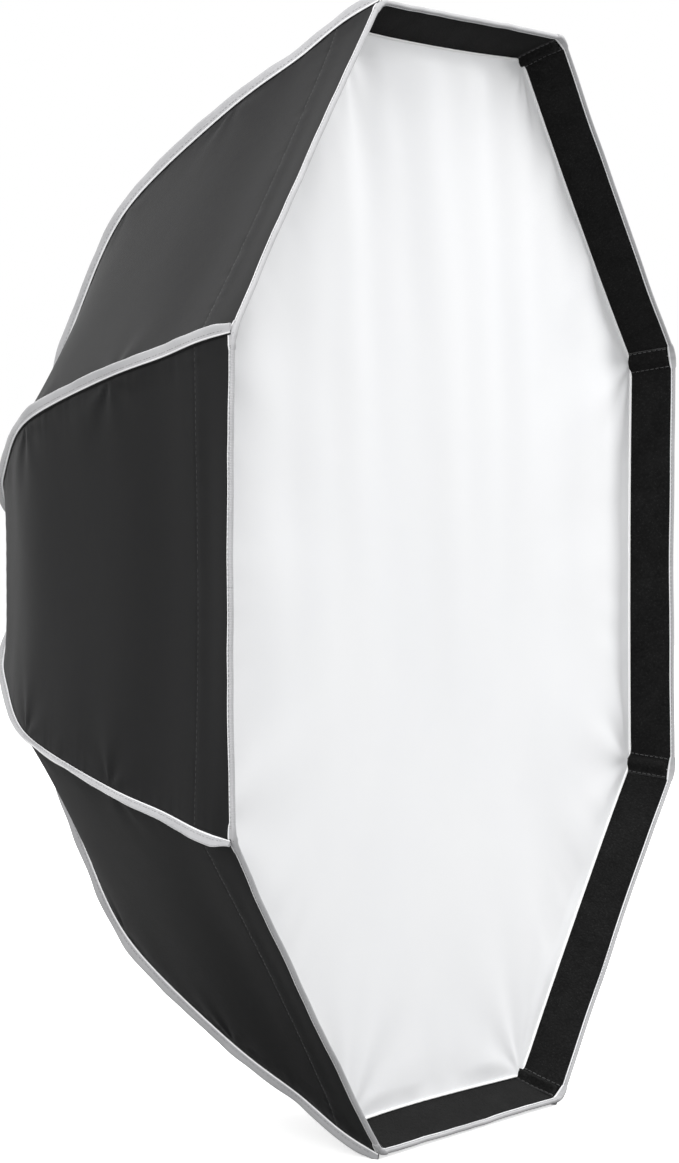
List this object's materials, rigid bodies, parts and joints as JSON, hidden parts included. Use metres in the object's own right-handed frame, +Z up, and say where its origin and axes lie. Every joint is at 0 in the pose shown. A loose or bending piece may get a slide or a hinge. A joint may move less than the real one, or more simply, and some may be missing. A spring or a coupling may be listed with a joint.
{
  "type": "studio softbox",
  "caption": "Folding octagonal photo softbox: black cloth shell on hinged spring ribs, umbrella-style runner hub, bayonet lamp ring and white front diffuser.",
  "frame": {"origin": "centre of the mount ring's rear seating face, on the light axis", "axes": "+Z up; the light leaves along -Y, so the open front faces -Y; +X is to the right seen from the front"},
  "size_m": [0.8314, 0.3665, 0.8314],
  "materials": {
    "black_metal": "satin",
    "steel": "satin",
    "ring_metal": "satin",
    "black_plastic": "matte",
    "button_plastic": "satin",
    "black_nylon": "satin weave",
    "white_cloth": "matte",
    "grey_tape": "woven tape"
  },
  "bodies": {
    "hub": {"hub_body": "black_plastic", "hub_front_plate": "black_metal", "rib_pivot_pins": "steel", "hub_screws": "steel", "guide_posts": "steel", "stop_ring": "black_metal", "stop_screws": "steel", "mount_ring": "ring_metal", "adapter_screws": "steel", "neck_skirt": "black_nylon", "front_diffuser": "white_cloth", "inner_diffuser": "white_cloth", "button_springs": "steel"},
    "runner": {"runner_ring": "black_plastic", "runner_grips": "button_plastic", "grip_screws": "steel"},
    "button_top": {"release_button_top": "button_plastic"},
    "button_bottom": {"release_button_bottom": "button_plastic"},
    "rib_1": {"rib_1": "steel", "rib_socket_1": "black_metal"},
    "rib_2": {"rib_2": "steel", "rib_socket_2": "black_metal"},
    "rib_3": {"rib_3": "steel", "rib_socket_3": "black_metal"},
    "rib_4": {"rib_4": "steel", "rib_socket_4": "black_metal"},
    "rib_5": {"rib_5": "steel", "rib_socket_5": "black_metal"},
    "rib_6": {"rib_6": "steel", "rib_socket_6": "black_metal"},
    "rib_7": {"rib_7": "steel", "rib_socket_7": "black_metal"},
    "rib_8": {"rib_8": "steel", "rib_socket_8": "black_metal"},
    "strut_1": {"strut_1": "black_metal"},
    "strut_2": {"strut_2": "black_metal"},
    "strut_3": {"strut_3": "black_metal"},
    "strut_4": {"strut_4": "black_metal"},
    "strut_5": {"strut_5": "black_metal"},
    "strut_6": {"strut_6": "black_metal"},
    "strut_7": {"strut_7": "black_metal"},
    "strut_8": {"strut_8": "black_metal"},
    "gore_1a": {"panel_1a": "black_nylon"},
    "gore_1b": {"panel_1b": "black_nylon"},
    "gore_2a": {"panel_2a": "black_nylon"},
    "gore_2b": {"panel_2b": "black_nylon"},
    "gore_3a": {"panel_3a": "black_nylon"},
    "gore_3b": {"panel_3b": "black_nylon"},
    "gore_4a": {"panel_4a": "black_nylon"},
    "gore_4b": {"panel_4b": "black_nylon"},
    "gore_5a": {"panel_5a": "black_nylon"},
    "gore_5b": {"panel_5b": "black_nylon"},
    "gore_6a": {"panel_6a": "black_nylon"},
    "gore_6b": {"panel_6b": "black_nylon"},
    "gore_7a": {"panel_7a": "black_nylon"},
    "gore_7b": {"panel_7b": "black_nylon"},
    "gore_8a": {"panel_8a": "black_nylon"},
    "gore_8b": {"panel_8b": "black_nylon"}
  },
  "joints": [
    {"name": "frame_fold", "type": "hinge", "parent": "hub", "child": "rib_1", "pos_m": [0.07391, -0.0205, 0.03061], "axis": [0.3827, 0, -0.9239], "range_deg": [0, 50], "deforming": ["front_diffuser", "inner_diffuser", "neck_skirt", "panel_1a", "panel_1b", "panel_2a", "panel_2b", "panel_3a", "panel_3b", "panel_4a", "panel_4b", "panel_5a", "panel_5b", "panel_6a", "panel_6b", "panel_7a", "panel_7b", "panel_8a", "panel_8b"]},
    {"name": "rib_2_fold", "type": "hinge", "parent": "hub", "child": "rib_2", "pos_m": [0.03061, -0.0205, 0.07391], "axis": [0.9239, 0, -0.3827], "range_deg": [0, 50]},
    {"name": "rib_3_fold", "type": "hinge", "parent": "hub", "child": "rib_3", "pos_m": [-0.03061, -0.0205, 0.07391], "axis": [0.9239, 0, 0.3827], "range_deg": [0, 50]},
    {"name": "rib_4_fold", "type": "hinge", "parent": "hub", "child": "rib_4", "pos_m": [-0.07391, -0.0205, 0.03061], "axis": [0.3827, 0, 0.9239], "range_deg": [0, 50]},
    {"name": "rib_5_fold", "type": "hinge", "parent": "hub", "child": "rib_5", "pos_m": [-0.07391, -0.0205, -0.03061], "axis": [-0.3827, 0, 0.9239], "range_deg": [0, 50]},
    {"name": "rib_6_fold", "type": "hinge", "parent": "hub", "child": "rib_6", "pos_m": [-0.03061, -0.0205, -0.07391], "axis": [-0.9239, 0, 0.3827], "range_deg": [0, 50]},
    {"name": "rib_7_fold", "type": "hinge", "parent": "hub", "child": "rib_7", "pos_m": [0.03061, -0.0205, -0.07391], "axis": [-0.9239, 0, -0.3827], "range_deg": [0, 50]},
    {"name": "rib_8_fold", "type": "hinge", "parent": "hub", "child": "rib_8", "pos_m": [0.07391, -0.0205, -0.03061], "axis": [-0.3827, 0, -0.9239], "range_deg": [0, 50]},
    {"name": "runner_slide", "type": "slide", "parent": "hub", "child": "runner", "axis": [0, -1, 0], "range_m": [0, 0.05083]},
    {"name": "strut_1_turn", "type": "hinge", "parent": "rib_1", "child": "strut_1", "pos_m": [0.11167, -0.04095, 0.04626], "axis": [0.3827, 0, -0.9239], "range_deg": [-80.82, 0]},
    {"name": "strut_2_turn", "type": "hinge", "parent": "rib_2", "child": "strut_2", "pos_m": [0.04626, -0.04095, 0.11167], "axis": [0.9239, 0, -0.3827], "range_deg": [-80.82, 0]},
    {"name": "strut_3_turn", "type": "hinge", "parent": "rib_3", "child": "strut_3", "pos_m": [-0.04626, -0.04095, 0.11167], "axis": [0.9239, 0, 0.3827], "range_deg": [-80.82, 0]},
    {"name": "strut_4_turn", "type": "hinge", "parent": "rib_4", "child": "strut_4", "pos_m": [-0.11167, -0.04095, 0.04626], "axis": [0.3827, 0, 0.9239], "range_deg": [-80.82, 0]},
    {"name": "strut_5_turn", "type": "hinge", "parent": "rib_5", "child": "strut_5", "pos_m": [-0.11167, -0.04095, -0.04626], "axis": [-0.3827, 0, 0.9239], "range_deg": [-80.82, 0]},
    {"name": "strut_6_turn", "type": "hinge", "parent": "rib_6", "child": "strut_6", "pos_m": [-0.04626, -0.04095, -0.11167], "axis": [-0.9239, 0, 0.3827], "range_deg": [-80.82, 0]},
    {"name": "strut_7_turn", "type": "hinge", "parent": "rib_7", "child": "strut_7", "pos_m": [0.04626, -0.04095, -0.11167], "axis": [-0.9239, 0, -0.3827], "range_deg": [-80.82, 0]},
    {"name": "strut_8_turn", "type": "hinge", "parent": "rib_8", "child": "strut_8", "pos_m": [0.11167, -0.04095, -0.04626], "axis": [-0.3827, 0, -0.9239], "range_deg": [-80.82, 0]},
    {"name": "gore_1a_fold", "type": "hinge", "parent": "rib_1", "child": "gore_1a", "pos_m": [0.07391, -0.0205, 0.03061], "axis": [-0.0161, 0.1689, 0.9855], "range_deg": [0, 26.49]},
    {"name": "gore_1b_fold", "type": "hinge", "parent": "rib_2", "child": "gore_1b", "pos_m": [0.03061, -0.0205, 0.07391], "axis": [-0.9855, -0.1689, 0.0161], "range_deg": [0, 26.49]},
    {"name": "gore_2a_fold", "type": "hinge", "parent": "rib_2", "child": "gore_2a", "pos_m": [0.03061, -0.0205, 0.07391], "axis": [-0.7082, 0.1689, 0.6855], "range_deg": [0, 26.49]},
    {"name": "gore_2b_fold", "type": "hinge", "parent": "rib_3", "child": "gore_2b", "pos_m": [-0.03061, -0.0205, 0.07391], "axis": [-0.7082, -0.1689, -0.6855], "range_deg": [0, 26.49]},
    {"name": "gore_3a_fold", "type": "hinge", "parent": "rib_3", "child": "gore_3a", "pos_m": [-0.03061, -0.0205, 0.07391], "axis": [-0.9855, 0.1689, -0.0161], "range_deg": [0, 26.49]},
    {"name": "gore_3b_fold", "type": "hinge", "parent": "rib_4", "child": "gore_3b", "pos_m": [-0.07391, -0.0205, 0.03061], "axis": [-0.0161, -0.1689, -0.9855], "range_deg": [0, 26.49]},
    {"name": "gore_4a_fold", "type": "hinge", "parent": "rib_4", "child": "gore_4a", "pos_m": [-0.07391, -0.0205, 0.03061], "axis": [-0.6855, 0.1689, -0.7082], "range_deg": [0, 26.49]},
    {"name": "gore_4b_fold", "type": "hinge", "parent": "rib_5", "child": "gore_4b", "pos_m": [-0.07391, -0.0205, -0.03061], "axis": [0.6855, -0.1689, -0.7082], "range_deg": [0, 26.49]},
    {"name": "gore_5a_fold", "type": "hinge", "parent": "rib_5", "child": "gore_5a", "pos_m": [-0.07391, -0.0205, -0.03061], "axis": [0.0161, 0.1689, -0.9855], "range_deg": [0, 26.49]},
    {"name": "gore_5b_fold", "type": "hinge", "parent": "rib_6", "child": "gore_5b", "pos_m": [-0.03061, -0.0205, -0.07391], "axis": [0.9855, -0.1689, -0.0161], "range_deg": [0, 26.49]},
    {"name": "gore_6a_fold", "type": "hinge", "parent": "rib_6", "child": "gore_6a", "pos_m": [-0.03061, -0.0205, -0.07391], "axis": [0.7082, 0.1689, -0.6855], "range_deg": [0, 26.49]},
    {"name": "gore_6b_fold", "type": "hinge", "parent": "rib_7", "child": "gore_6b", "pos_m": [0.03061, -0.0205, -0.07391], "axis": [0.7082, -0.1689, 0.6855], "range_deg": [0, 26.49]},
    {"name": "gore_7a_fold", "type": "hinge", "parent": "rib_7", "child": "gore_7a", "pos_m": [0.03061, -0.0205, -0.07391], "axis": [0.9855, 0.1689, 0.0161], "range_deg": [0, 26.49]},
    {"name": "gore_7b_fold", "type": "hinge", "parent": "rib_8", "child": "gore_7b", "pos_m": [0.07391, -0.0205, -0.03061], "axis": [0.0161, -0.1689, 0.9855], "range_deg": [0, 26.49]},
    {"name": "gore_8a_fold", "type": "hinge", "parent": "rib_8", "child": "gore_8a", "pos_m": [0.07391, -0.0205, -0.03061], "axis": [0.6855, 0.1689, 0.7082], "range_deg": [0, 26.49]},
    {"name": "gore_8b_fold", "type": "hinge", "parent": "rib_1", "child": "gore_8b", "pos_m": [0.07391, -0.0205, 0.03061], "axis": [-0.6855, -0.1689, 0.7082], "range_deg": [0, 26.49]},
    {"name": "top_button_press", "type": "slide", "parent": "hub", "child": "button_top", "axis": [0, 0, -1], "range_m": [0, 0.004], "stiffness_N_per_m": 600, "springref_m": -0.001, "deforming": ["button_springs"]},
    {"name": "bottom_button_press", "type": "slide", "parent": "hub", "child": "button_bottom", "axis": [0, 0, 1], "range_m": [0, 0.004], "stiffness_N_per_m": 600, "springref_m": -0.001, "deforming": ["button_springs"]}
  ],
  "couplings": [
    {"joint": "rib_2_fold", "follows": "frame_fold", "ratio": 1},
    {"joint": "rib_3_fold", "follows": "frame_fold", "ratio": 1},
    {"joint": "rib_4_fold", "follows": "frame_fold", "ratio": 1},
    {"joint": "rib_5_fold", "follows": "frame_fold", "ratio": 1},
    {"joint": "rib_6_fold", "follows": "frame_fold", "ratio": 1},
    {"joint": "rib_7_fold", "follows": "frame_fold", "ratio": 1},
    {"joint": "rib_8_fold", "follows": "frame_fold", "ratio": 1},
    {"joint": "runner_slide", "follows": "frame_fold", "m_per_rad": 0.058241},
    {"joint": "strut_1_turn", "follows": "frame_fold", "ratio": -1.6164},
    {"joint": "strut_2_turn", "follows": "frame_fold", "ratio": -1.6164},
    {"joint": "strut_3_turn", "follows": "frame_fold", "ratio": -1.6164},
    {"joint": "strut_4_turn", "follows": "frame_fold", "ratio": -1.6164},
    {"joint": "strut_5_turn", "follows": "frame_fold", "ratio": -1.6164},
    {"joint": "strut_6_turn", "follows": "frame_fold", "ratio": -1.6164},
    {"joint": "strut_7_turn", "follows": "frame_fold", "ratio": -1.6164},
    {"joint": "strut_8_turn", "follows": "frame_fold", "ratio": -1.6164},
    {"joint": "gore_1a_fold", "follows": "frame_fold", "ratio": 0.52972},
    {"joint": "gore_1b_fold", "follows": "frame_fold", "ratio": 0.52972},
    {"joint": "gore_2a_fold", "follows": "frame_fold", "ratio": 0.52972},
    {"joint": "gore_2b_fold", "follows": "frame_fold", "ratio": 0.52972},
    {"joint": "gore_3a_fold", "follows": "frame_fold", "ratio": 0.52972},
    {"joint": "gore_3b_fold", "follows": "frame_fold", "ratio": 0.52972},
    {"joint": "gore_4a_fold", "follows": "frame_fold", "ratio": 0.52972},
    {"joint": "gore_4b_fold", "follows": "frame_fold", "ratio": 0.52972},
    {"joint": "gore_5a_fold", "follows": "frame_fold", "ratio": 0.52972},
    {"joint": "gore_5b_fold", "follows": "frame_fold", "ratio": 0.52972},
    {"joint": "gore_6a_fold", "follows": "frame_fold", "ratio": 0.52972},
    {"joint": "gore_6b_fold", "follows": "frame_fold", "ratio": 0.52972},
    {"joint": "gore_7a_fold", "follows": "frame_fold", "ratio": 0.52972},
    {"joint": "gore_7b_fold", "follows": "frame_fold", "ratio": 0.52972},
    {"joint": "gore_8a_fold", "follows": "frame_fold", "ratio": 0.52972},
    {"joint": "gore_8b_fold", "follows": "frame_fold", "ratio": 0.52972}
  ]
}
